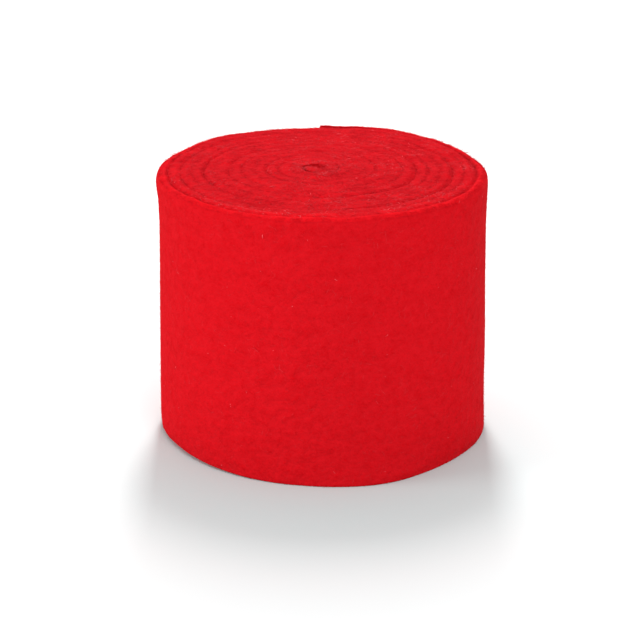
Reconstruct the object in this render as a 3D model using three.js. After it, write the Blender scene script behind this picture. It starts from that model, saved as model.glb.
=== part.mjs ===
// A roll of thick wool felt: one long strip, wound on itself into a squat drum that stands on
// its cut edge.
//
// Millimetres, +Z up. The origin is the middle of the footprint, on the surface that the roll
// stands on. Seen from above, the winding opens counter-clockwise from the eye, and the outer
// end of the strip lies at the back (+Y).

import * as THREE from "three";

// Driving dimensions

const STRIP_WIDTH = 150; // the felt's cut width, which is the height of the roll's side
const FELT_THICKNESS = 5.95; // the soft felt at its mean thickness
const TURNS = 12.75; // from the inner end, left of the eye, to the outer end at the back
const OUTER_END_ANGLE = 90; // degrees, counter-clockwise from +X
const EYE_RADIUS = 3.8; // from the pole of the winding to the middle of the felt's inner end
const EYE_DRIFT = { x: -1.5, y: 0 }; // the eye lies off the middle of the outer turns

// The strip's cut edges are soft. The foot keeps a flat face, and the top is rounder.
const FOOT_ROUND = { inset: 1, height: 1.4 };
const TOP_ROUND = { inset: 1.5, height: 2.4 };
const LEAN_HEIGHT = 22; // the stretch below the top edge in which an outer turn leans outwards

const STEPS_PER_TURN = 36; // one step for each 10 degrees, at the same angles in every turn

// How the felt lies along the strip, counted in turns from the inner end.
//   thickness  share of FELT_THICKNESS
//   gap        clear space to the next turn outwards, mm
//   rise       how far the turn is pushed up out of the roll, mm
//   lean       how far its top edge leans outwards, mm
//   spread     how far its foot stands outside its upper part, mm
const LAY_OF_THE_FELT = [
  { turn: 0, thickness: 0.93, gap: 2.2, rise: 2.0, lean: 0, spread: 0 },
  { turn: 1, thickness: 1.0, gap: 0.6, rise: 1.8, lean: 0, spread: 0 },
  { turn: 3, thickness: 1.06, gap: 0.7, rise: 1.5, lean: 0, spread: 0 },
  { turn: 5, thickness: 1.04, gap: 0.5, rise: 1.1, lean: 0, spread: 0 },
  { turn: 6.5, thickness: 1.12, gap: 1.3, rise: 0.8, lean: 0, spread: 0 },
  { turn: 8, thickness: 0.95, gap: 0.4, rise: 0.4, lean: 0, spread: 0 },
  { turn: 9.4, thickness: 1.02, gap: 0.9, rise: 0.1, lean: 0, spread: 0.2 },
  { turn: 10.2, thickness: 0.92, gap: 0.4, rise: 0, lean: 0.1, spread: 0.4 },
  { turn: 11.05, thickness: 0.94, gap: 0.7, rise: 0, lean: 0.8, spread: 0.7 },
  { turn: 11.5, thickness: 0.96, gap: 1.0, rise: 0, lean: 0.3, spread: 0.9 },
  { turn: 11.75, thickness: 0.94, gap: 0.8, rise: 0, lean: 0.4, spread: 1.0 },
  { turn: 12.05, thickness: 0.92, gap: 0.6, rise: 0, lean: 1.9, spread: 1.2 },
  { turn: 12.5, thickness: 0.9, gap: 0.6, rise: 0, lean: 0.6, spread: 1.2 },
  { turn: TURNS, thickness: 0.86, gap: 0.6, rise: 0, lean: 0.4, spread: 1.0 },
];

const FELT = new THREE.MeshStandardMaterial({
  name: "felt",
  color: new THREE.Color(0.84, 0.08, 0.12),
  roughness: 0.95,
  metalness: 0,
});

// One column of the table at any place along the strip, eased from row to row.
function layOf(column, turn) {
  const next = LAY_OF_THE_FELT.findIndex((row) => row.turn >= turn);
  if (next <= 0) return LAY_OF_THE_FELT[0][column];
  const from = LAY_OF_THE_FELT[next - 1];
  const to = LAY_OF_THE_FELT[next];
  const share = THREE.MathUtils.smoothstep(turn, from.turn, to.turn);
  return THREE.MathUtils.lerp(from[column], to[column], share);
}

// The strip as it is wound, a step for each few degrees: the eye's turn opens evenly, and every
// later step lies on the felt one turn inside it, at the gap that the table gives.
function windStrip() {
  const firstThickness = FELT_THICKNESS * layOf("thickness", 0);
  const secondThickness = FELT_THICKNESS * layOf("thickness", 1);
  const firstPitch = (firstThickness + secondThickness) / 2 + layOf("gap", 0);
  const steps = [];
  for (let i = 0; i <= TURNS * STEPS_PER_TURN; i += 1) {
    const turn = i / STEPS_PER_TURN;
    const thickness = FELT_THICKNESS * layOf("thickness", turn);
    const inner = steps[i - STEPS_PER_TURN];
    const radius = inner
      ? inner.radius + (inner.thickness + thickness) / 2 + layOf("gap", inner.turn)
      : EYE_RADIUS + firstPitch * turn;
    steps.push({ turn, thickness, radius });
  }
  return steps;
}

// The strip's section, from the foot to the top on its outer face and back down the inner one.
// across is measured outwards from the middle of the felt, up from the strip's lower edge.
function sectionOf({ turn, thickness }) {
  const half = thickness / 2;
  const lean = layOf("lean", turn);
  const spread = layOf("spread", turn);
  const heights = [
    { up: 0, inset: FOOT_ROUND.inset, out: spread },
    { up: FOOT_ROUND.height, inset: 0, out: spread },
    { up: STRIP_WIDTH - LEAN_HEIGHT, inset: 0, out: 0 },
    { up: STRIP_WIDTH - TOP_ROUND.height, inset: 0, out: lean },
    { up: STRIP_WIDTH, inset: TOP_ROUND.inset, out: lean },
  ];
  const outer = heights.map((h) => ({ across: h.out + half - h.inset, up: h.up }));
  const inner = heights.map((h) => ({ across: h.out - half + h.inset, up: h.up }));
  return [...outer, ...inner.reverse()];
}

// Where the section's points stand in the roll, at one step of the winding.
function placeSection(step, outerRadius) {
  const startAngle = OUTER_END_ANGLE - TURNS * 360;
  const angle = THREE.MathUtils.degToRad(startAngle + step.turn * 360);
  const drift = 1 - step.radius / outerRadius;
  const rise = layOf("rise", step.turn);
  return sectionOf(step).map(({ across, up }) => [
    EYE_DRIFT.x * drift + (step.radius + across) * Math.cos(angle),
    EYE_DRIFT.y * drift + (step.radius + across) * Math.sin(angle),
    rise + up,
  ]);
}

// Triangles between the section at one step and the section at the next.
function sideTriangles(step, points) {
  const triangles = [];
  for (let p = 0; p < points; p += 1) {
    const here = step * points + p;
    const beside = step * points + ((p + 1) % points);
    triangles.push(here, here + points, beside, beside, here + points, beside + points);
  }
  return triangles;
}

// Triangles that close a cut end, each pair spanning from the outer face to the inner one.
function endTriangles(step, points, facesBack) {
  const triangles = [];
  const first = step * points;
  for (let p = 0; p < points / 2 - 1; p += 1) {
    const outer = first + p;
    const inner = first + points - 1 - p;
    const pair = [outer, outer + 1, inner, inner, outer + 1, inner - 1];
    triangles.push(...(facesBack ? pair : pair.reverse()));
  }
  return triangles;
}

// The wound strip as one closed skin.
function feltRollGeometry() {
  const steps = windStrip();
  const outerRadius = steps.at(-1).radius;
  const sections = steps.map((step) => placeSection(step, outerRadius));
  const points = sections[0].length;
  const last = sections.length - 1;
  const triangles = [];
  for (let step = 0; step < last; step += 1) {
    triangles.push(...sideTriangles(step, points));
  }
  triangles.push(...endTriangles(0, points, true), ...endTriangles(last, points, false));

  const geometry = new THREE.BufferGeometry();
  const positions = new Float32Array(sections.flat(2));
  geometry.setAttribute("position", new THREE.BufferAttribute(positions, 3));
  geometry.setIndex(triangles);
  geometry.computeBoundingBox();
  const middle = geometry.boundingBox.getCenter(new THREE.Vector3());
  geometry.translate(-middle.x, -middle.y, 0);
  geometry.computeVertexNormals();
  return geometry;
}

const feltRoll = new THREE.Mesh(feltRollGeometry(), FELT);
feltRoll.name = "felt_roll";

const roll = new THREE.Group();
roll.name = "roll_of_felt";
roll.add(feltRoll);

export default roll;
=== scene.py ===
# %% [markdown]
# # A roll of thick wool felt
#
# The real thing is one long strip of soft needled felt, cut about 15 cm wide and rolled up.
# It stands on its cut edge, so what shows is the outermost turn's face and, on top, the cut
# edges of all the turns. There is nothing else: no core, no label and no tie.
#
# The lesson makes the roll the way it is made in life. A flat strip is modelled first, with
# soft edges, and is then wound. After that come the loose fibres, the felt's finish, and a
# plain studio with a white floor.
#
# Everything is in metres, in the frame of the solid model: +Z is up, the front of the roll
# faces -Y, and the strip's outer end lies at the back. A length that is easier to read in
# millimetres is written with MM.

import math

import bmesh
import bpy
import numpy as np
from mathutils import Matrix, Vector


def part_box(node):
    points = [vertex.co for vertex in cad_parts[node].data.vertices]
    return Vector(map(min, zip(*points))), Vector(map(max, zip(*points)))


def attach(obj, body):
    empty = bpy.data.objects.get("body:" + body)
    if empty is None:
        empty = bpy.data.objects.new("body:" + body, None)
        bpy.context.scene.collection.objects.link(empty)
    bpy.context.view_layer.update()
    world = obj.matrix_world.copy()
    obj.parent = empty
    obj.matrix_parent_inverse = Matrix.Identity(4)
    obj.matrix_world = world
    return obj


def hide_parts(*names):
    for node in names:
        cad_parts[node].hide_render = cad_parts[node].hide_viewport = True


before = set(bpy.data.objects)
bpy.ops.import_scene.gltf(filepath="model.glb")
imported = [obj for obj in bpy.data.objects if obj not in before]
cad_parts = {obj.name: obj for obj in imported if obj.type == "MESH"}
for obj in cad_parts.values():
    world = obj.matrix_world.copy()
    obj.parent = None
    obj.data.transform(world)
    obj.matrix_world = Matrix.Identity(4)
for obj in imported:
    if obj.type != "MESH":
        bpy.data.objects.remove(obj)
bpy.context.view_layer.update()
MM = 0.001


# %% [markdown]
# ## The camera
#
# A product photo is taken from well back with a long lens, so the sides of the roll look
# nearly upright. The distance, the angle above level and the lens below were worked out from
# the roll's outline: how round the top looks, and how much narrower the foot looks than the
# top. The camera comes first, because every later choice of detail depends on what it sees.

# %% Place the camera
CAMERA_DISTANCE = 1.5
CAMERA_ABOVE_LEVEL = math.radians(19.95)
CAMERA_ROLL = math.radians(0.23)
AIM = Vector((-0.0012, 0.0, 0.0616))
LENS_MM = 149.7
SENSOR_MM = 36.0

camera_data = bpy.data.cameras.new("camera")
camera_data.lens = LENS_MM
camera_data.sensor_width = SENSOR_MM
camera = bpy.data.objects.new("camera", camera_data)
bpy.context.scene.collection.objects.link(camera)
toward_camera = Vector((0, -math.cos(CAMERA_ABOVE_LEVEL), math.sin(CAMERA_ABOVE_LEVEL)))
camera.location = AIM + CAMERA_DISTANCE * toward_camera
look = (-toward_camera).to_track_quat("-Z", "Y").to_matrix().to_4x4()
camera.rotation_euler = (look @ Matrix.Rotation(CAMERA_ROLL, 4, "Z")).to_euler()
bpy.context.scene.camera = camera
print(f"camera {CAMERA_DISTANCE} m away, {math.degrees(CAMERA_ABOVE_LEVEL):.1f} degrees above level")

# %% [markdown]
# ## How the felt lies in the roll
#
# A roll wound by hand is uneven. The felt is thicker in some places, some turns lie looser
# than others, the middle is pushed up a little, and the outer turn leans out at its top edge
# and spreads at its foot. One short table says all that, with a row for each place along the
# strip where something changes. The solid model was wound from the same values.
#
# Turns are counted from the eye. Thickness is a share of the felt's own, and the gap to the
# next turn, the rise, the lean and the spread are in millimetres.

# %% The strip's sizes and the table of its lay
STRIP_WIDTH = 150 * MM
FELT_THICKNESS = 5.95 * MM
TURNS = 12.75
OUTER_END_ANGLE = math.radians(90)
EYE_RADIUS = 3.8 * MM

LAY_COLUMNS = ("turn", "thickness", "gap", "rise", "lean", "spread")
LAY_OF_THE_FELT = (
    (0, 0.93, 2.2, 2.0, 0, 0),
    (1, 1.0, 0.6, 1.8, 0, 0),
    (3, 1.06, 0.7, 1.5, 0, 0),
    (5, 1.04, 0.5, 1.1, 0, 0),
    (6.5, 1.12, 1.3, 0.8, 0, 0),
    (8, 0.95, 0.4, 0.4, 0, 0),
    (9.4, 1.02, 0.9, 0.1, 0, 0.2),
    (10.2, 0.92, 0.4, 0, 0.1, 0.4),
    (11.05, 0.94, 0.7, 0, 0.8, 0.7),
    (11.5, 0.96, 1.0, 0, 0.3, 0.9),
    (11.75, 0.94, 0.8, 0, 0.4, 1.0),
    (12.05, 0.92, 0.6, 0, 1.9, 1.2),
    (12.5, 0.9, 0.6, 0, 0.6, 1.2),
    (TURNS, 0.86, 0.6, 0, 0.4, 1.0),
)


def smoothstep(share):
    """Ease from 0 to 1 with a level start and end."""
    share = np.clip(share, 0.0, 1.0)
    return share * share * (3 - 2 * share)


def lay_of(column, turn):
    """One column of the table at any turns, eased from row to row, in the table's own units."""
    rows = np.array(LAY_OF_THE_FELT, float)
    turns = rows[:, 0]
    values = rows[:, LAY_COLUMNS.index(column)]
    turn = np.asarray(turn, float)
    after = np.clip(np.searchsorted(turns, turn), 1, len(turns) - 1)
    share = smoothstep((turn - turns[after - 1]) / (turns[after] - turns[after - 1]))
    return values[after - 1] + share * (values[after] - values[after - 1])


# %% [markdown]
# ## The middle line of the felt
#
# The winding is followed from the eye outwards in small steps. The first turn opens evenly.
# From then on each step lies on the turn inside it: half the thickness of both, and the gap
# between them. The lengths of the steps add up to the length of felt in the roll.

# %% Wind the middle line
STEPS_PER_TURN = 72
winding_turns = np.arange(round(TURNS * STEPS_PER_TURN) + 1) / STEPS_PER_TURN
winding_thickness = FELT_THICKNESS * lay_of("thickness", winding_turns)
winding_gap = MM * lay_of("gap", winding_turns)
winding_radius = np.zeros_like(winding_turns)
first_pitch = (winding_thickness[0] + winding_thickness[STEPS_PER_TURN]) / 2 + winding_gap[0]
for step, turn in enumerate(winding_turns):
    inner = step - STEPS_PER_TURN
    if inner < 0:
        winding_radius[step] = EYE_RADIUS + first_pitch * turn
    else:
        touching = (winding_thickness[inner] + winding_thickness[step]) / 2
        winding_radius[step] = winding_radius[inner] + touching + winding_gap[inner]

mean_radius = (winding_radius[1:] + winding_radius[:-1]) / 2
arc_pieces = mean_radius * np.diff(winding_turns) * 2 * math.pi
winding_length = np.concatenate([[0], np.cumsum(arc_pieces)])
STRIP_LENGTH = winding_length[-1]
print(f"{TURNS} turns take {STRIP_LENGTH:.3f} m of felt")

# %% Turns, lengths and angles
LEAN_HEIGHT = 22 * MM
SPREAD_CURVE = 1.5


def turn_at(along):
    """The turn that a length along the strip has reached."""
    return np.interp(along, winding_length, winding_turns)


def length_at(turn):
    """The length along the strip at a turn."""
    return np.interp(turn, winding_turns, winding_length)


def angle_at(turn):
    """The angle around the pole at a turn, counter-clockwise from +X."""
    return OUTER_END_ANGLE + (turn - TURNS) * 2 * math.pi


def facing(angle, middle, half_width):
    """1 at one side of the roll, fading to 0 both ways. The side and the fade are in degrees."""
    away = (angle - math.radians(middle) + math.pi) % (2 * math.pi) - math.pi
    return np.exp(-(away / math.radians(half_width)) ** 2)


def outward_shift(turn, up):
    """How far the felt stands outside its middle line: the lean at the top, the spread below."""
    lean = MM * lay_of("lean", turn)
    spread = MM * lay_of("spread", turn)
    upper = smoothstep((up - (STRIP_WIDTH - LEAN_HEIGHT)) / LEAN_HEIGHT)
    lower = np.clip(1 - up / (STRIP_WIDTH - LEAN_HEIGHT), 0, 1)
    return lean * upper + spread * lower ** SPREAD_CURVE


# %% Centre the winding on the solid
widest = np.maximum(outward_shift(winding_turns, 0.0), outward_shift(winding_turns, STRIP_WIDTH))
outside = winding_radius + winding_thickness / 2 + widest
winding_angle = angle_at(winding_turns)
rim = outside[:, None] * np.stack([np.cos(winding_angle), np.sin(winding_angle)], axis=1)
solid_low, solid_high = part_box("felt_roll")
solid_centre = (np.array(solid_low) + np.array(solid_high))[:2] / 2
pole = solid_centre - (rim.min(0) + rim.max(0)) / 2
print("roll across:", np.round((rim.max(0) - rim.min(0)) / MM, 1), "mm, pole at", np.round(pole / MM, 2))

# %% [markdown]
# ## Soft unevenness
#
# Felt has no straight lines. Its dents and bumps are made with value noise: random heights at
# even places, eased from one to the next. The heights come from a fixed seed, so the roll is
# the same in every run.

# %% Noise along a line and over a surface
KNOTS = 4096
KNOTS_BETWEEN_ROWS = 977


def soft_noise(where, spacing, seed):
    """Smooth unevenness along a line, between -1 and 1, with a bump about every spacing."""
    heights = np.random.default_rng(seed).uniform(-1, 1, KNOTS)
    place = np.asarray(where, float) / spacing
    left = np.floor(place).astype(int)
    before = heights[left % KNOTS]
    after = heights[(left + 1) % KNOTS]
    return before + smoothstep(place - left) * (after - before)


def soft_noise_2d(a, b, spacing, seed):
    """The same over a surface: rows of the line noise, eased from one row to the next."""
    row = np.floor(b / spacing).astype(int)
    share = smoothstep(b / spacing - row)
    row_step = KNOTS_BETWEEN_ROWS * spacing
    lower = soft_noise(a + row * row_step, spacing, seed)
    upper = soft_noise(a + (row + 1) * row_step, spacing, seed)
    return lower + share * (upper - lower)


# %% [markdown]
# ## Where turn meets turn
#
# Real felt swells where nothing presses on it, so neighbouring turns touch and most seams
# hardly show. The solid keeps clear gaps, and here the felt fills them. At the very top the
# loose fibres of two turns mat together, so there the faces pass each other by a hair, and no
# slit shows. Only the eye stays open.
#
# A few stretches of the spiral seam do show in the photo, as soft dark grooves at the left
# and right. Those are listed one by one. A place on the seam is named by the number of the
# turn inside it, so the right side of the roll is at a half and the left side at a whole.

# %% Seams and grooves
SEAM_FADE = 0.1
LAST_SEAM = TURNS - 0.97
SHALLOW_GROOVE = 0.04 * MM
SHALLOW_CHANGE = 0.7
SHALLOW_SPACING = 0.11
# Columns: the turn at its middle, half its length in turns, its depth in millimetres.
DEEP_GROOVES = (
    (11.49, 0.12, 1.9),
    (11.09, 0.14, 1.7),
    (10.48, 0.09, 0.4),
    (10.02, 0.10, 1.0),
    (9.45, 0.12, 1.8),
    (7.98, 0.11, 1.4),
    (7.52, 0.08, 0.4),
    (6.44, 0.13, 1.8),
    (6.0, 0.09, 1.0),
    (5.50, 0.07, 0.4),
    (5.02, 0.09, 0.8),
    (3.50, 0.10, 0.7),
    (3.0, 0.12, 1.3),
    (2.0, 0.12, 1.0),
    (0.3, 0.35, 0.6),
)


def seam_beside(turn, across):
    """The seam that a point lies nearest to, by the number of the turn inside it."""
    return np.where(across < 0, turn - 1, turn)


def between_turns(seam):
    """1 where a seam has a turn on both sides, 0 on the outer face and in the eye."""
    return smoothstep(seam / SEAM_FADE + 1) * smoothstep((LAST_SEAM - seam) / SEAM_FADE)


def groove_depth(seam):
    """How deep the groove over the seam is: shallow, but for the listed stretches."""
    depth = SHALLOW_GROOVE * (1 + SHALLOW_CHANGE * soft_noise(seam, SHALLOW_SPACING, seed=35))
    for turn, half_length, deep in DEEP_GROOVES:
        depth = depth + deep * MM * np.exp(-((seam - turn) / half_length) ** 2)
    return depth * between_turns(seam)


print(len(DEEP_GROOVES), "stretches of the seam lie open")

# %% Felt that swells to fill the gaps
FILLED_IN_EYE = 0.8 * MM
FILLED_OUTSIDE = 1.4 * MM
LEFT_OPEN = 0.02 * MM
MATTED = 0.30 * MM


def half_thickness(turn, seam, up, near_top):
    """From the felt's middle line to its face: it swells until it meets the next turn."""
    inside = between_turns(seam)
    leaning_away = inside * (outward_shift(seam + 1, up) - outward_shift(seam, up))
    swelling = MM * lay_of("gap", seam) + leaning_away - LEFT_OPEN
    most = FILLED_IN_EYE + (FILLED_OUTSIDE - FILLED_IN_EYE) * smoothstep(seam)
    matted = MATTED * near_top * inside * smoothstep(seam)
    return (FELT_THICKNESS * lay_of("thickness", turn) + np.minimum(swelling, most)) / 2 + matted


# %% [markdown]
# ## The outer face and the top
#
# The outermost turn is the one that hands touch. Its top edge is worn round, its foot bulges
# here and tucks in there, and one corner of the foot at the left is rubbed away. Its face has
# shallow dents. The top of the roll isn't flat either: the turns rise and fall together, as
# felt does that was pressed from one side.
#
# Each of these is a small shift of a point, outward or upward. Shifts are used here because
# they add up on one strip, and the strip stays one closed piece.

# %% Shape the outermost turn
LAST_TURN_FADE = 0.1
SHOULDER = 6 * MM
SHOULDER_INSET = 2.8 * MM
SHOULDER_DROP = 1.0 * MM
SHOULDER_ROUNDNESS = 0.97
# Columns: depth and spacing in millimetres, and the seed.
DENTS = (
    (0.22, 26, 21),
    (0.13, 9, 22),
)
# Columns: side and half width in degrees, then how far outward and how high in millimetres.
FOOT_SHAPES = (
    (208, 30, -1.7, 9),
    (288, 19, 3.6, 22),
    (350, 26, 1.0, 70),
    (330, 22, -1.6, 9),
)
WORN_SIDE = 208
WORN_HALF_WIDTH = 30
WORN_HEIGHT = 8 * MM
WORN_AWAY = 2.4 * MM


def on_last_turn(turn, early):
    """1 on the outermost turn. It eases in, starting a share of a turn early."""
    return smoothstep((turn - (TURNS - 1 - early)) / LAST_TURN_FADE)


def outer_face_shape(along, turn, angle, part_out, up):
    """What the outermost turn does more than the rest: outward and upward, in metres."""
    to_top = np.clip((up - (STRIP_WIDTH - SHOULDER)) / SHOULDER, 0, 1)
    outward = -SHOULDER_INSET * (1 - np.sqrt(1 - SHOULDER_ROUNDNESS * to_top ** 2))
    for depth, spacing, seed in DENTS:
        outward = outward + depth * MM * soft_noise_2d(along, up, spacing * MM, seed)
    for side, half_width, amount, height in FOOT_SHAPES:
        bulge = facing(angle, side, half_width) * np.exp(-up / (height * MM))
        outward = outward + amount * MM * bulge
    through = np.clip(part_out + 1, 0, 2) / 2
    worn = facing(angle, WORN_SIDE, WORN_HALF_WIDTH) * np.exp(-up / WORN_HEIGHT)
    upward = WORN_AWAY * worn * through - SHOULDER_DROP * to_top ** 2 * through ** 2
    outermost = on_last_turn(turn, early=0.08)
    return outward * through * outermost, upward * outermost


# %% Shape the top
UNEVEN_HEIGHT = 12 * MM
WIDE_BUMP = 0.45 * MM
WIDE_SPACING = 14 * MM
NARROW_BUMP = 0.30 * MM
NARROW_SPACING = 6 * MM
OWN_BUMP = 0.04 * MM
OWN_SPACING = 60 * MM
RIM_CURVE = 4
# Columns: side and half width in degrees, then the height at the rim in millimetres.
TOP_SHAPES = (
    (66, 20, 1.5),
    (130, 24, 1.5),
)


def top_unevenness(x, y, along, up):
    """How much higher or lower the top edge stands: mostly shared by the turns side by side."""
    near_top = smoothstep((up - (STRIP_WIDTH - UNEVEN_HEIGHT)) / UNEVEN_HEIGHT)
    bumps = WIDE_BUMP * soft_noise_2d(x, y, WIDE_SPACING, seed=32)
    bumps = bumps + NARROW_BUMP * soft_noise_2d(x, y, NARROW_SPACING, seed=33)
    bumps = bumps + OWN_BUMP * soft_noise(along, OWN_SPACING, seed=31)
    angle = np.arctan2(y - pole[1], x - pole[0])
    out_to_rim = (np.hypot(x - pole[0], y - pole[1]) / winding_radius[-1]) ** RIM_CURVE
    for side, half_width, height in TOP_SHAPES:
        bumps = bumps + height * MM * out_to_rim * facing(angle, side, half_width)
    return near_top * bumps


# %% [markdown]
# ## From the flat strip to the roll
#
# A point of the flat strip has three numbers: how far along it lies, how far across the
# felt's thickness, and how high up its width. The function below takes those three and gives
# the place in the roll. Everything that follows uses it, the strip itself and its loose
# fibres alike, so the fibres sit on the felt wherever it went.

# %% The winding function
EYE_DRIFT = np.array([-1.5, 0.0]) * MM
GROOVE_HALF_WIDTH = 2.7 * MM
TOP_ZONE = 4 * MM
TOP_ZONE_FADE = 3.5 * MM
SQUASH = 0.3 * MM
SQUASH_SPACING = 42 * MM


def wind(along, across, up):
    """Places in the roll of points of the flat strip, as an array with a row for each."""
    turn = turn_at(along)
    angle = angle_at(turn)
    seam = seam_beside(turn, across)
    part_out = across / (FELT_THICKNESS / 2)
    outward, upward = outer_face_shape(along, turn, angle, part_out, up)
    near_top = smoothstep((up - (STRIP_WIDTH - TOP_ZONE)) / TOP_ZONE_FADE)

    reach = np.interp(turn, winding_turns, winding_radius) + outward_shift(turn, up)
    drift = 1 - reach / winding_radius[-1]
    reach = reach + part_out * half_thickness(turn, seam, up, near_top) + outward
    x = pole[0] + EYE_DRIFT[0] * drift + reach * np.cos(angle)
    y = pole[1] + EYE_DRIFT[1] * drift + reach * np.sin(angle)
    squash_x = SQUASH * soft_noise_2d(x, y, SQUASH_SPACING, seed=41)
    squash_y = SQUASH * soft_noise_2d(x, y, SQUASH_SPACING, seed=42)
    x = x + squash_x
    y = y + squash_y

    rise = MM * lay_of("rise", turn + part_out / 2)
    into_groove = (np.abs(across) - FELT_THICKNESS / 2) / GROOVE_HALF_WIDTH + 1
    valley = groove_depth(seam) * np.clip(into_groove, 0, 1) ** 2 * near_top
    height = up + rise + upward - valley + top_unevenness(x, y, along, up)
    return np.stack([x, y, height], axis=1)


# %% [markdown]
# ## A shared tone, with a painted highlight
#
# A cut edge looks cloudy: here the fibres end in a dense dark mat, there they lie loose and
# pale. The clouds run across the turns, and the strip and its fibres have to agree on them.
# So one function gives the tone of any place, and every mesh stores it at its points. The top is a
# little paler in the eye and on the outermost turn's rubbed shoulder. Towards the front, most of all at
# the rim and on that shoulder, the top carries a painted highlight: paler colour where the light falls
# on it.

# %% The tone of a place
TONE_SPACING = 5 * MM
TONE_CHANGE = 0.42
TOP_CLOUDS = 0.64
# The front of the top carries a painted highlight: its side and width, the turn it starts from, and how
# much paler it makes the top, the rim and the shoulder there.
FRONT_SIDE = 264
FRONT_HALF_WIDTH = 72
FRONT_FROM_TURN = 9
FRONT_PAINTED_HIGHLIGHT = 0.17
RIM_WIDTH_IN_TURNS = 2.8
RIM_FADE_IN_TURNS = 1.6
FRONT_RIM_PAINTED_HIGHLIGHT = 0.22
SHOULDER_PALER = 0.08
FRONT_SHOULDER_PAINTED_HIGHLIGHT = 0.24
SHOULDER_START = 0.8
EYE_PALER = 0.12
EYE_TURNS = 3


def tone_and_painted_highlight(places, along, across, up, on_its_top):
    """Paler and darker patches, from 0 to 1: on the top they run across the turns, with a painted
    highlight at the front.
    """
    a = np.where(on_its_top, places[:, 0], along)
    b = np.where(on_its_top, places[:, 1], up)
    clouds = soft_noise_2d(a, b, TONE_SPACING, seed=53)
    tone = np.clip(0.5 + TONE_CHANGE * clouds, 0, 1)
    turn = turn_at(along)
    shoulder = on_last_turn(turn, early=0.05) * smoothstep(SHOULDER_START + across / FELT_THICKNESS)
    # Painted highlight: the front of the top is made paler, more towards the rim and most on the outer
    # shoulder there, where the light falls.
    front_highlight_share = facing(angle_at(turn), FRONT_SIDE, FRONT_HALF_WIDTH) * smoothstep(turn / FRONT_FROM_TURN)
    near_rim = smoothstep((turn - (TURNS - RIM_WIDTH_IN_TURNS)) / RIM_FADE_IN_TURNS)
    top_tone = TOP_CLOUDS * tone + (SHOULDER_PALER + FRONT_SHOULDER_PAINTED_HIGHLIGHT * front_highlight_share) * shoulder
    top_tone = top_tone + (FRONT_PAINTED_HIGHLIGHT + FRONT_RIM_PAINTED_HIGHLIGHT * near_rim) * front_highlight_share
    top_tone = top_tone + EYE_PALER * np.exp(-(turn / EYE_TURNS) ** 2)
    return np.where(on_its_top, np.clip(top_tone, 0, 1), tone)


def store_tone(mesh, values):
    """Store the tones of a mesh's points for its material to read."""
    tone = mesh.attributes.new("tone", "FLOAT", "POINT")
    tone.data.foreach_set("value", np.asarray(values, np.float32))


# %% [markdown]
# ## The flat strip
#
# The felt starts as a cube stretched to the strip's real size. Its edges are bevelled: the
# two upright ends a little, the foot well round, because it is pressed against the floor, and
# the top hardly at all, because there the cut edges of the turns meet and a round edge would
# draw a line between them. Planes then cut the width and the thickness where the felt will
# bend, and one subdivision cuts the length into steps. This is a better start than a spiral
# drawn point by point: the strip is sound and closed before it bends, and its flat size is
# the size that the felt was cut to.

# %% Model the flat strip
LENGTH_CUTS = 1600
TOP_ROUND = 0.25 * MM
END_ROUND = 0.8 * MM
FOOT_ROUND = 1.5 * MM
WIDTH_CUTS = MM * np.array([
    5, 10, 18, 30, 46, 64, 84, 104, 122, 136, 143, 145, 146.7, 148, 149, 149.5,
])
ACROSS_CUTS = MM * np.array([-2.6, -2.0, -1.0, 0, 1.0, 2.0, 2.6])
CUT_TOLERANCE = 1e-6


def along_share(edge):
    """How much of the strip's length an edge spans."""
    return abs(edge.verts[0].co.x - edge.verts[1].co.x) / STRIP_LENGTH


def bevel(mesh, edges, width, segments):
    """Round some edges, with every setting given."""
    bmesh.ops.bevel(mesh, geom=edges, offset=width, offset_type="OFFSET", segments=segments,
                    profile=0.5, affect="EDGES", material=-1, clamp_overlap=True)


def edges_between(mesh, low, high):
    """The edges whose two ends are higher than low and lower than high."""
    return [e for e in mesh.edges if all(low < v.co.z < high for v in e.verts)]


strip = bmesh.new()
bmesh.ops.create_cube(strip, size=1)
bmesh.ops.scale(strip, verts=strip.verts, vec=(STRIP_LENGTH, FELT_THICKNESS, STRIP_WIDTH))
bmesh.ops.translate(strip, verts=strip.verts, vec=(STRIP_LENGTH / 2, 0, STRIP_WIDTH / 2))
upright = [e for e in strip.edges if abs(e.verts[0].co.z - e.verts[1].co.z) > MM]
bevel(strip, upright, END_ROUND, segments=3)
bevel(strip, edges_between(strip, STRIP_WIDTH - MM, STRIP_WIDTH + MM), TOP_ROUND, segments=2)
bevel(strip, edges_between(strip, -MM, MM), FOOT_ROUND, segments=2)

cuts = [((0, 0, height), (0, 0, 1)) for height in WIDTH_CUTS]
cuts += [((0, across, 0), (0, 1, 0)) for across in ACROSS_CUTS]
for place, facing_way in cuts:
    everything = strip.verts[:] + strip.edges[:] + strip.faces[:]
    bmesh.ops.bisect_plane(strip, geom=everything, dist=CUT_TOLERANCE,
                           plane_co=place, plane_no=facing_way)
long_edges = [e for e in strip.edges if along_share(e) > 0.5]
bmesh.ops.subdivide_edges(strip, edges=long_edges, cuts=LENGTH_CUTS, use_grid_fill=True)
print(f"flat strip {STRIP_LENGTH:.3f} by {STRIP_WIDTH:.3f} m, {len(strip.faces)} faces")

# %% [markdown]
# ## Winding it
#
# The cuts lie evenly along the flat strip, but the tight turns in the middle need shorter
# steps than the wide ones outside. So the cuts are spaced again first: short where the felt
# bends sharply, and longer, up to about 3 mm, in the outermost turn.
#
# The felt's own pattern has to follow the strip round, over its top edge and down the other
# face. A UV map does that: U is the length along the strip, and V runs up the outer face,
# over the top and down the inner face, both in metres.

# %% Space the cuts along the flat strip
EYE_STEPS = 2.6
SHARE_STEPS = 4001


def spaced_turn(share):
    """The turn at a share of the cuts: steps of one angle in the eye, of one length outside."""
    far = (TURNS + EYE_STEPS) ** 2 - EYE_STEPS ** 2
    return np.sqrt(EYE_STEPS ** 2 + share * far) - EYE_STEPS


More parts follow.
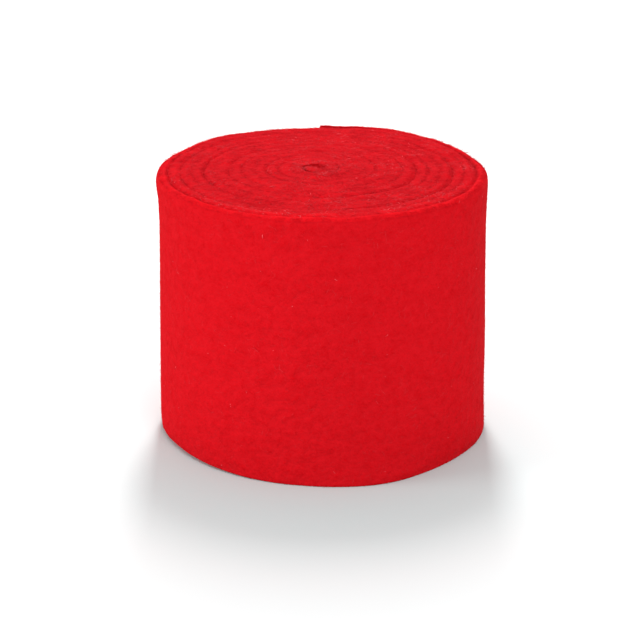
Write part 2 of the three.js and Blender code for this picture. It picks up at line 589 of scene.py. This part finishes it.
def respace(along):
    """Even cuts moved to where the winding needs them. The rounded ends stay as they are."""
    first, last = turn_at(END_ROUND), turn_at(STRIP_LENGTH - END_ROUND)
    shares = np.linspace(0, 1, SHARE_STEPS)
    turns = spaced_turn(shares)
    wanted = first + (turns - turns[0]) / (turns[-1] - turns[0]) * (last - first)
    even = (along - END_ROUND) / (STRIP_LENGTH - 2 * END_ROUND)
    moved = np.interp(even, shares, length_at(wanted))
    return np.where((even > 0) & (even < 1), moved, along)


def follow_surface(across, up):
    """V of the UV map: up the outer face, over the top edge, down the inner face."""
    half = FELT_THICKNESS / 2
    climbed = up + half - np.abs(across)
    return np.where(across >= 0, climbed, 2 * STRIP_WIDTH + FELT_THICKNESS - climbed)


# %% Wind the strip
flat = np.array([v.co[:] for v in strip.verts])
flat[:, 0] = respace(flat[:, 0])
flat_along, flat_across, flat_up = flat.T
unwound = strip.loops.layers.uv.new("UVMap")
strip.verts.index_update()
surface_v = follow_surface(flat_across, flat_up)
for face in strip.faces:
    for loop in face.loops:
        corner = loop.vert.index
        loop[unwound].uv = (flat_along[corner], surface_v[corner])

wound = wind(flat_along, flat_across, flat_up)
for vertex, place in zip(strip.verts, wound):
    vertex.co = place
bmesh.ops.recalc_face_normals(strip, faces=strip.faces)
for face in strip.faces:
    face.smooth = True
strip_mesh = bpy.data.meshes.new("felt_strip")
strip.to_mesh(strip_mesh)
strip.free()
is_top = flat_up > STRIP_WIDTH - MM / 2
store_tone(strip_mesh, tone_and_painted_highlight(wound, flat_along, flat_across, flat_up, is_top))
felt_strip = bpy.data.objects.new("felt_strip", strip_mesh)
bpy.context.scene.collection.objects.link(felt_strip)
print(f"wound strip: {sum(len(p.vertices) - 2 for p in strip_mesh.polygons)} triangles")

# %% [markdown]
# ## Loose fibres
#
# Felt has no weave. It is a mat of fine wool fibres, and many of them end in the air: short
# ones all over the face, and more along the cut edges, where they bridge the grooves between
# the turns. They make the roll's outline soft, so they are real geometry and not a pattern.
#
# Each fibre is one thin closed tube of three sides with a point at each end. Thousands of
# them are worked out together as arrays, and each kind is joined into one mesh. A fibre
# starts just inside the felt, runs along it with a bend to one side, and either comes back
# to the felt or stands off it. Short nap gets one ring between its ends, and the long
# fibres, whose bends can be seen, get three. A ring is a place along the fibre and a share
# of its width.

# %% One fibre's rings and faces
FIBRE_SIDES = 3
LONG_RINGS = ((0.25, 0.9), (0.5, 1.0), (0.78, 0.7))
NAP_RINGS = ((0.45, 1.0),)
NO_LENGTH = 1e-12


def unit(vectors):
    """Rows of an array, each made one unit long."""
    lengths = np.linalg.norm(vectors, axis=1, keepdims=True)
    return vectors / np.maximum(lengths, NO_LENGTH)


def fibre_faces(rings):
    """Corners of one fibre's triangles: vertex 0 is the root, the last one is the tip."""
    faces = []
    tip = 1 + rings * FIBRE_SIDES
    for side in range(FIBRE_SIDES):
        beside = (side + 1) % FIBRE_SIDES
        faces.append((0, 1 + beside, 1 + side))
        for ring in range(rings - 1):
            near = 1 + ring * FIBRE_SIDES
            far = near + FIBRE_SIDES
            faces.append((near + side, near + beside, far + side))
            faces.append((near + beside, far + beside, far + side))
        last = tip - FIBRE_SIDES
        faces.append((last + side, last + beside, tip))
    return np.array(faces)


# %% Many fibres as one joined mesh
ROOT_DEPTH = 0.25 * MM
FLATNESS = 0.28
PROBE = 0.1 * MM
BEND = 0.45
COMING_BACK = 0.6
FREE_END_CURVE = 1.4
RISE_RANGE = (0.3, 1.0)
LENGTH_RANGE = (0.5, 1.3)
WIDTH_RANGE = (0.6, 1.3)
TONE_SCATTER = 0.04


def make_fibres(name, places, seed, rings, length, width, lift, scatter):
    """One mesh of loose fibres.

    places holds the roots on the flat strip as along, across and up, the way out of the felt
    there as (across, up), and the fibres' heading, an angle from the strip's own direction.
    scatter is how far they stray from it. lift is how far a fibre rises for its length.
    """
    along, across, up, out, heading = places
    random = np.random.default_rng(seed)
    count = len(along)
    root = wind(along, across, up)
    forward = unit(wind(along + PROBE, across, up) - wind(along - PROBE, across, up))
    normal = unit(wind(along, across + out[:, 0] * PROBE, up + out[:, 1] * PROBE) - root)
    sideways = unit(np.cross(normal, forward))
    heading = heading + random.normal(0, scatter, count)
    run = forward * np.cos(heading)[:, None] + sideways * np.sin(heading)[:, None]
    turn_aside = np.cross(normal, run)
    bend = random.normal(0, BEND, count)
    comes_back = random.random(count) < COMING_BACK
    rise = length * lift * random.uniform(*RISE_RANGE, count)
    length = length * random.uniform(*LENGTH_RANGE, count)
    width = width * random.uniform(*WIDTH_RANGE, count)

    def centre(place):
        arch = np.where(comes_back, 4 * place * (1 - place), place ** FREE_END_CURVE)
        buried = ROOT_DEPTH * np.where(comes_back, abs(2 * place - 1), 1 - place)
        onward = run * (length * place)[:, None]
        aside = turn_aside * (bend * length * place ** 2)[:, None]
        return root + onward + aside + normal * (rise * arch - buried)[:, None]

    points = [centre(0.0)]
    for place, share in rings:
        middle = centre(place)
        for side in range(FIBRE_SIDES):
            spoke = side / FIBRE_SIDES * 2 * math.pi
            offset = turn_aside * math.cos(spoke) + FLATNESS * normal * math.sin(spoke)
            points.append(middle + offset * (width * share)[:, None] / 2)
    points.append(centre(1.0))
    vertices = np.stack(points, axis=1)
    vertices[:, :, 2] = np.maximum(vertices[:, :, 2], 0.0)

    per_fibre = vertices.shape[1]
    starts = np.arange(count)[:, None, None] * per_fibre
    faces = (fibre_faces(len(rings))[None] + starts).reshape(-1, 3)
    mesh = bpy.data.meshes.new(name)
    mesh.from_pydata(vertices.reshape(-1, 3), [], faces.tolist())
    on_its_top = out[:, 1] > 0.5
    # The fibres take the tone of where they grow, with the painted highlight at the front of the top.
    tones = tone_and_painted_highlight(root, along, across, up, on_its_top) + random.normal(0, TONE_SCATTER, count)
    store_tone(mesh, np.repeat(np.clip(tones, 0, 1), per_fibre))
    mesh.update()
    piece = bpy.data.objects.new(name, mesh)
    bpy.context.scene.collection.objects.link(piece)
    print(f"{name}: {count} fibres, {len(faces)} triangles")
    return piece


# %% [markdown]
# ## Where fibres grow
#
# The cut edge on top is furry all over, and its longer pale fibres lie in clusters. The last
# turn is worn smooth there and has only the short nap. Fibres that cross a seam are few where
# a groove lies open, or they would hide it. The eye is half closed by fibres that lie every
# way, and the outer face has a fine fur that shows best at the roll's outline.

# %% Places on the strip's surface
CLUSTER_SPACING = 9 * MM
CLUSTER_MEAN = 0.35
CLUSTER_CHANGE = 0.9
CLUSTER_LEAST = 0.04
OPEN_GROOVE = 0.7 * MM
LEAST_CLEARED = 0.05
MOST_CLEARED = 0.92
SEAM_REACH = (0.4, 2.4)
EYE_FUR_TURNS = 1.6


def on_top(along, across, heading):
    """Places on the strip's top edge, with the height that its rounded sides have there."""
    over = np.clip((np.abs(across) - (FELT_THICKNESS / 2 - TOP_ROUND)) / TOP_ROUND, 0, 1)
    up = STRIP_WIDTH - TOP_ROUND * (1 - np.sqrt(1 - over ** 2))
    out = np.tile([0.0, 1.0], (len(along), 1))
    return along, across, up, out, heading


def top_edge(count, seed, clustered=False, to_the_rim=False):
    """Random places all along the top edge, or only in clusters of them.

    The last turn is worn smooth on top, so only the short nap goes out to the rim.
    """
    random = np.random.default_rng(seed)
    along = random.uniform(0, STRIP_LENGTH, count)
    across = random.uniform(-1, 1, count) * FELT_THICKNESS / 2
    kept = (turn_at(along) < TURNS - 1) | to_the_rim
    along, across = along[kept], across[kept]
    if clustered:
        at = wind(along, across, np.full(len(along), STRIP_WIDTH))
        crowd = soft_noise_2d(at[:, 0], at[:, 1], CLUSTER_SPACING, seed=52)
        share = np.clip(CLUSTER_MEAN + CLUSTER_CHANGE * crowd, CLUSTER_LEAST, 1)
        kept = random.random(len(along)) < share
        along, across = along[kept], across[kept]
    return on_top(along, across, np.zeros(len(along)))


def seams(count, seed):
    """Places beside the seam, for fibres that cross it: few where a groove lies open."""
    random = np.random.default_rng(seed)
    along = random.uniform(0, STRIP_LENGTH, count)
    side = random.choice([-1, 1], count)
    depth = groove_depth(seam_beside(turn_at(along), side))
    cleared = np.clip(depth / OPEN_GROOVE, LEAST_CLEARED, MOST_CLEARED)
    kept = random.random(count) > cleared
    along, side = along[kept], side[kept]
    across = side * (FELT_THICKNESS / 2 - random.uniform(*SEAM_REACH, len(along)) * MM)
    return on_top(along, across, -side * math.pi / 2)


def eye(count, seed):
    """Places in the first turns, whose fibres lie every way and half close the eye."""
    random = np.random.default_rng(seed)
    along = random.uniform(0, length_at(EYE_FUR_TURNS), count)
    across = random.uniform(-1, 1, count) * FELT_THICKNESS / 2
    return on_top(along, across, random.uniform(-math.pi, math.pi, count))


def outer_face(count, seed):
    """Random places on the face of the outermost turn."""
    random = np.random.default_rng(seed)
    along = random.uniform(length_at(TURNS - 1), STRIP_LENGTH, count)
    up = random.uniform(FOOT_ROUND, STRIP_WIDTH - TOP_ROUND, count)
    across = np.full(count, FELT_THICKNESS / 2)
    out = np.tile([1.0, 0.0], (count, 1))
    return along, across, up, out, np.zeros(count)


# %% Grow the fibres
# How far the fibres stray from their heading, in radians.
EVERY_WAY = 10.0
ALONG_IT = 0.9
ACROSS_IT = 0.55
AS_PLACED = 0.1
top_nap = make_fibres("top_nap", top_edge(28000, 1, to_the_rim=True), 11, NAP_RINGS,
                      length=2.8 * MM, width=0.20 * MM, lift=0.05, scatter=EVERY_WAY)
seam_nap = make_fibres("seam_nap", seams(14000, 7), 17, NAP_RINGS,
                       length=3.2 * MM, width=0.17 * MM, lift=0.05, scatter=ACROSS_IT)
top_fuzz = make_fibres("top_fuzz", top_edge(7000, 2), 12, LONG_RINGS,
                       length=4.6 * MM, width=0.15 * MM, lift=0.09, scatter=ALONG_IT)
face_nap = make_fibres("face_nap", outer_face(32000, 3), 13, NAP_RINGS,
                       length=2.4 * MM, width=0.13 * MM, lift=0.13, scatter=EVERY_WAY)
face_fuzz = make_fibres("face_fuzz", outer_face(5500, 4), 14, LONG_RINGS,
                        length=4.0 * MM, width=0.12 * MM, lift=0.25, scatter=EVERY_WAY)
tufts = make_fibres("pale_tufts", outer_face(110, 5), 15, LONG_RINGS,
                    length=2.4 * MM, width=0.42 * MM, lift=0.10, scatter=EVERY_WAY)
eye_fuzz = make_fibres("eye_fuzz", eye(420, 9), 19, LONG_RINGS,
                       length=4.0 * MM, width=0.26 * MM, lift=0.12, scatter=AS_PLACED)
top_streaks = make_fibres("top_streaks", top_edge(9000, 8, clustered=True), 18, LONG_RINGS,
                          length=4.4 * MM, width=0.28 * MM, lift=0.06, scatter=ALONG_IT)
top_tufts = make_fibres("pale_top_tufts", top_edge(420, 6, clustered=True), 16, LONG_RINGS,
                        length=3.2 * MM, width=0.32 * MM, lift=0.08, scatter=ALONG_IT)

# %% [markdown]
# ## Shader maths
#
# A node material soon becomes a web of Math nodes that nobody can read. A small class wraps
# a socket, so that the maths is written as an ordinary expression, and each + or * in it adds
# its own Math node. Every other node comes from one method, which takes the node's type, its
# settings, and what its inputs hold.

# %% Sockets that can be added and multiplied
class Wire:
    """An output socket in sums: an expression on wires adds its Math nodes."""

    def __init__(self, tree, socket):
        self.tree = tree
        self.socket = socket

    def maths(self, operation, first, second=0.0):
        return self.tree.node("ShaderNodeMath", {"operation": operation}, {0: first, 1: second})

    def __add__(self, other):
        return self.maths("ADD", self, other)

    def __sub__(self, other):
        return self.maths("SUBTRACT", self, other)

    def __mul__(self, other):
        return self.maths("MULTIPLY", self, other)

    def __rsub__(self, other):
        return self.maths("SUBTRACT", other, self)

    def __abs__(self):
        return self.maths("ABSOLUTE", self)

    def larger(self, other):
        return self.maths("MAXIMUM", self, other)

    def clipped(self, low, high):
        """0 below low, 1 above high, and a soft ramp between them."""
        ramp = {"interpolation_type": "SMOOTHSTEP"}
        sockets = {"Value": self, "From Min": low, "From Max": high}
        return self.tree.node("ShaderNodeMapRange", ramp, sockets)

    __radd__ = __add__
    __rmul__ = __mul__


# %% Materials under construction
class Finish:
    """A node material under construction."""

    def __init__(self, name):
        self.material = bpy.data.materials.new(name)
        self.material.use_nodes = True
        self.nodes = self.material.node_tree.nodes
        self.links = self.material.node_tree.links
        self.shader = self.nodes["Principled BSDF"]

    def node(self, kind, settings=(), sockets=(), output=0):
        """One node: its type, its settings, and a value or a wire for each named socket."""
        made = self.nodes.new(kind)
        for key, value in dict(settings).items():
            setattr(made, key, value)
        for key, value in dict(sockets).items():
            self.plug(made.inputs[key], value)
        return Wire(self, made.outputs[output])

    def plug(self, socket, value):
        """Link a wire to a socket, or set the socket's own value."""
        if isinstance(value, Wire):
            self.links.new(value.socket, socket)
        else:
            socket.default_value = value

    def mix(self, factor, first, second):
        """A colour between two others."""
        colours = {"data_type": "RGBA"}
        return self.node("ShaderNodeMix", colours, {0: factor, 6: first, 7: second}, output=2)

    def noise(self, place, scale, detail=2.0):
        """Cloudy noise around 0.5; scale is in bumps for each metre."""
        sockets = {"Vector": place, "Scale": scale, "Detail": detail, "Roughness": 0.5}
        return self.node("ShaderNodeTexNoise", (), sockets)

    def tone(self):
        """The tone that is stored on the mesh, as a number."""
        return self.node("ShaderNodeAttribute", {"attribute_name": "tone"}, output=2)

    def set(self, **values):
        """The shader's own sockets, by name with _ for a space."""
        for key, value in values.items():
            self.plug(self.shader.inputs[key.replace("_", " ")], value)


# %% [markdown]
# ## The felt's finish
#
# Red wool felt is matt and very deep in colour, with almost no shine of its own. What gives
# it away close up are its fibres: fine lines in every direction, some paler, over a cloudy
# ground where the mat is thicker or thinner. The lines are noise that is stretched along one
# direction. Three such layers, each turned another way, are laid over each other.
#
# The cut edge is darker than the faces, because its fibres stand on end and light falls in between them.
# On the last turn's worn shoulder it is rubbed paler. The stored tone moves the cut edge between the
# darker red and the felt's own, and it carries the painted highlight at the front of the top.
#
# The faint pale bloom on felt seen at a slant comes from the fibre ends that stand up. That
# is what the shader's sheen is for.

# %% Reds of the felt and its fibres
DEEP_RED = (0.55, 0.0022, 0.0054, 1)
FELT_RED = (0.62, 0.0045, 0.0092, 1)
BRIGHT_RED = (0.66, 0.0135, 0.0210, 1)
SOFT_RED = (0.74, 0.0620, 0.0780, 1)
PALE_RED = (0.90, 0.1500, 0.1700, 1)
CUT_RED = (0.38, 0.0042, 0.0084, 1)
CUT_BRIGHT_RED = (0.47, 0.0060, 0.0115, 1)
CUT_SOFT_RED = (0.72, 0.1150, 0.1350, 1)
SHEEN_TINT = (1.0, 0.30, 0.32, 1)

# %% Fine fibre lines
STRAND_ANGLES = (12, 68, -41)
STRAND_SHIFT = (0.37, 0.11)
STRANDS_ALONG = 150
STRANDS_ACROSS = 1000
STRAND_DETAIL = 3.0
STRAND_SHARPNESS = 5
FAINTEST_LINE = 0.2


def strands(finish, surface):
    """Fine fibre lines in three directions, from 0 to 1."""
    lines = None
    for number, angle in enumerate(STRAND_ANGLES):
        shift = (STRAND_SHIFT[0] * number, STRAND_SHIFT[1] * number, 0)
        sockets = {"Vector": surface, "Rotation": (0, 0, math.radians(angle)), "Location": shift}
        turned = finish.node("ShaderNodeMapping", (), sockets)
        stretched = finish.node("ShaderNodeVectorMath", {"operation": "MULTIPLY"},
                                {0: turned, 1: (STRANDS_ALONG, STRANDS_ACROSS, 1)})
        waves = finish.noise(stretched, 1.0, detail=STRAND_DETAIL)
        ridge = 1 - abs(waves * 2 - 1) * STRAND_SHARPNESS
        layer = ridge.clipped(FAINTEST_LINE, 1.0)
        lines = layer if lines is None else lines.larger(layer)
    return lines


# %% The felt itself
CUT_FADE = 2 * MM
LAST_TURN_BLEND = 30 * MM
WORN_SHOULDER = 0.5
CUT_SHOWS = 0.8
# Columns: bumps for each metre, share in the colour, share in the relief.
MOTTLES = (
    (75, 0.35, 2.2),
    (210, 0.65, 2.8),
    (480, 0.20, 0.3),
)
THIN_MAT = 0.40
THICK_MAT = 0.75
LINES_SHOW = 0.35
CUT_LINES_SHOW = 0.05
LINES_STAND_OUT = 0.05
RELIEF_STRENGTH = 0.7
RELIEF_DEPTH = 0.7 * MM


def off_the_cut(finish, surface):
    """0 on the cut top edge, 1 on the two faces, and between them on the worn shoulder."""
    u_axis = finish.node("ShaderNodeSeparateXYZ", (), {"Vector": surface}, output=0)
    v_axis = finish.node("ShaderNodeSeparateXYZ", (), {"Vector": surface}, output=1)
    half = FELT_THICKNESS / 2
    from_the_edge = abs(v_axis - (STRIP_WIDTH + half)).clipped(half, half + CUT_FADE)
    last_turn = float(length_at(TURNS - 1))
    outermost = u_axis.clipped(last_turn - LAST_TURN_BLEND, last_turn + LAST_TURN_BLEND)
    inner_part = v_axis.clipped(STRIP_WIDTH, STRIP_WIDTH + FELT_THICKNESS)
    return from_the_edge.larger(outermost * (1 - inner_part) * WORN_SHOULDER)


def felt_finish():
    """The strip's own material."""
    finish = Finish("felt")
    surface = finish.node("ShaderNodeUVMap", {"uv_map": "UVMap"})
    lines = strands(finish, surface)
    thick = 0.0
    relief = lines * LINES_STAND_OUT
    for scale, in_colour, in_relief in MOTTLES:
        mottle = finish.noise(surface, scale)
        thick = mottle * in_colour + thick
        relief = mottle * in_relief + relief
    ground = finish.mix(thick.clipped(THIN_MAT, THICK_MAT), DEEP_RED, FELT_RED)
    fibrous = finish.mix(lines * LINES_SHOW, ground, BRIGHT_RED)
    tone = finish.tone()
    # The stored tone brings the painted highlight at the front of the top into the cut edge's colour.
    cut_ground = finish.mix(tone * tone + lines * CUT_LINES_SHOW, CUT_RED, FELT_RED)
    on_faces = off_the_cut(finish, surface) * CUT_SHOWS + (1 - CUT_SHOWS)
    sockets = {"Height": relief, "Strength": RELIEF_STRENGTH, "Distance": RELIEF_DEPTH}
    finish.set(Base_Color=finish.mix(on_faces, cut_ground, fibrous),
               Normal=finish.node("ShaderNodeBump", (), sockets),
               Roughness=1.0, Specular_IOR_Level=0.0,
               Sheen_Weight=0.06, Sheen_Roughness=0.4, Sheen_Tint=SHEEN_TINT)
    return finish.material


felt = felt_finish()
strip_mesh.materials.append(felt)
print("felt finish:", len(felt.node_tree.nodes), "nodes")

# %% [markdown]
# ## The fibres' finish
#
# A loose fibre has one plain red. Where it sticks out of the mat it catches the light from
# all sides, so it is a paler red than the felt around it, and more so in the paler clouds.
# Each kind runs between two reds by the stored tone. The short nap stays close to the felt,
# and the few tufts are nearly pink.

# %% Reds for the fibres
def fibre_finish(name, dark, bright):
    """Loose fibres, between a darker and a brighter red."""
    finish = Finish(name)
    tone = finish.tone()
    # The stored tone includes the painted highlight at the front of the top.
    finish.set(Base_Color=finish.mix(tone * tone, dark, bright), Roughness=1.0,
               Specular_IOR_Level=0.0, Sheen_Weight=0.04, Sheen_Tint=SHEEN_TINT)
    return finish.material


nap_red = fibre_finish("felt_nap", FELT_RED, BRIGHT_RED)
cut_red = fibre_finish("felt_cut_nap", CUT_RED, FELT_RED)
streak_red = fibre_finish("felt_streaks", CUT_BRIGHT_RED, CUT_SOFT_RED)
fuzz_red = fibre_finish("felt_fuzz", FELT_RED, SOFT_RED)
tuft_red = fibre_finish("felt_tufts", SOFT_RED, PALE_RED)
FIBRES = {
    top_nap: cut_red,
    seam_nap: cut_red,
    face_nap: nap_red,
    top_fuzz: streak_red,
    top_streaks: streak_red,
    eye_fuzz: streak_red,
    face_fuzz: fuzz_red,
    tufts: tuft_red,
    top_tufts: tuft_red,
}
for piece, red in FIBRES.items():
    piece.data.materials.append(red)
print(len(FIBRES), "kinds of fibres in", len(set(FIBRES.values())), "finishes")

# %% [markdown]
# ## The floor
#
# The photo has a white sweep, and its floor is a neutral grey right up to the roll, without
# the glow that red felt throws on white paper. The floor here is one wide sheet of paper. It
# has a little less red in it, most of all in the shadow before the roll, so that the glow
# and the paper together come out grey.

# %% Lay the floor
FLOOR_SIZE = 12.0
PAPER_WHITE = (0.716, 0.735, 0.735, 1)
PAPER_NEAR = (0.600, 0.702, 0.702, 1)
NEAR_MIDDLE = (0, -0.05, 0)
NEAR_REACH = 0.07
WHITE_FROM = 0.17

floor_mesh = bpy.data.meshes.new("floor")
paper_sheet = bmesh.new()
bmesh.ops.create_grid(paper_sheet, x_segments=1, y_segments=1, size=FLOOR_SIZE / 2)
paper_sheet.to_mesh(floor_mesh)
paper_sheet.free()
floor = bpy.data.objects.new("floor", floor_mesh)
bpy.context.scene.collection.objects.link(floor)
paper = Finish("white_paper")
on_floor = paper.node("ShaderNodeTexCoord", output=3)
how_far = {"operation": "DISTANCE"}
away = paper.node("ShaderNodeVectorMath", how_far, {0: on_floor, 1: NEAR_MIDDLE}, output=1)
paper_colour = paper.mix(away.clipped(NEAR_REACH, WHITE_FROM), PAPER_NEAR, PAPER_WHITE)
paper.set(Base_Color=paper_colour, Roughness=1.0, Specular_IOR_Level=0.0)
floor_mesh.materials.append(paper.material)
print(f"floor {FLOOR_SIZE} m wide")

# %% [markdown]
# ## The light
#
# In the photo the roll's soft shadow falls towards the camera. Its sides are sharper than its
# end, so the lamp behind and above is narrow and tall. Two more lamps light the felt's face,
# the stronger one far round to the left, and a white world does the rest.

# %% Place the lamps
def add_lamp(name, side, above, distance, width, height, watts):
    """A lamp that faces the roll, so many degrees round from the camera and above level."""
    data = bpy.data.lights.new(name, "AREA")
    data.shape = "RECTANGLE"
    data.size = width
    data.size_y = height
    data.energy = watts
    side, above = math.radians(side), math.radians(above)
    level = Vector((math.sin(side), -math.cos(side), 0))
    toward = level * math.cos(above) + Vector((0, 0, math.sin(above)))
    lamp = bpy.data.objects.new(name, data)
    lamp.location = AIM + distance * toward
    lamp.rotation_euler = (-toward).to_track_quat("-Z", "Y").to_euler()
    bpy.context.scene.collection.objects.link(lamp)


add_lamp("shadow_lamp", side=180, above=51, distance=1.35, width=0.2, height=0.95, watts=17.3)
add_lamp("left_lamp", side=-78, above=18, distance=2.0, width=0.8, height=0.8, watts=16.5)
add_lamp("front_lamp", side=18, above=36, distance=2.0, width=0.8, height=0.8, watts=14.2)

WORLD_STRENGTH = 0.68
world = bpy.data.worlds.new("white_studio")
world.use_nodes = True
world.node_tree.nodes["Background"].inputs["Color"].default_value = (1, 1, 1, 1)
world.node_tree.nodes["Background"].inputs["Strength"].default_value = WORLD_STRENGTH
bpy.context.scene.world = world
bpy.context.scene.view_settings.view_transform = "Standard"
bpy.context.scene.view_settings.look = "None"
print("three lamps and a white world")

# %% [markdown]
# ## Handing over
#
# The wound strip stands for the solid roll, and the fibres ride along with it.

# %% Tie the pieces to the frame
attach(felt_strip, "root")
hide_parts("felt_roll")
for piece in FIBRES:
    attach(piece, "root")
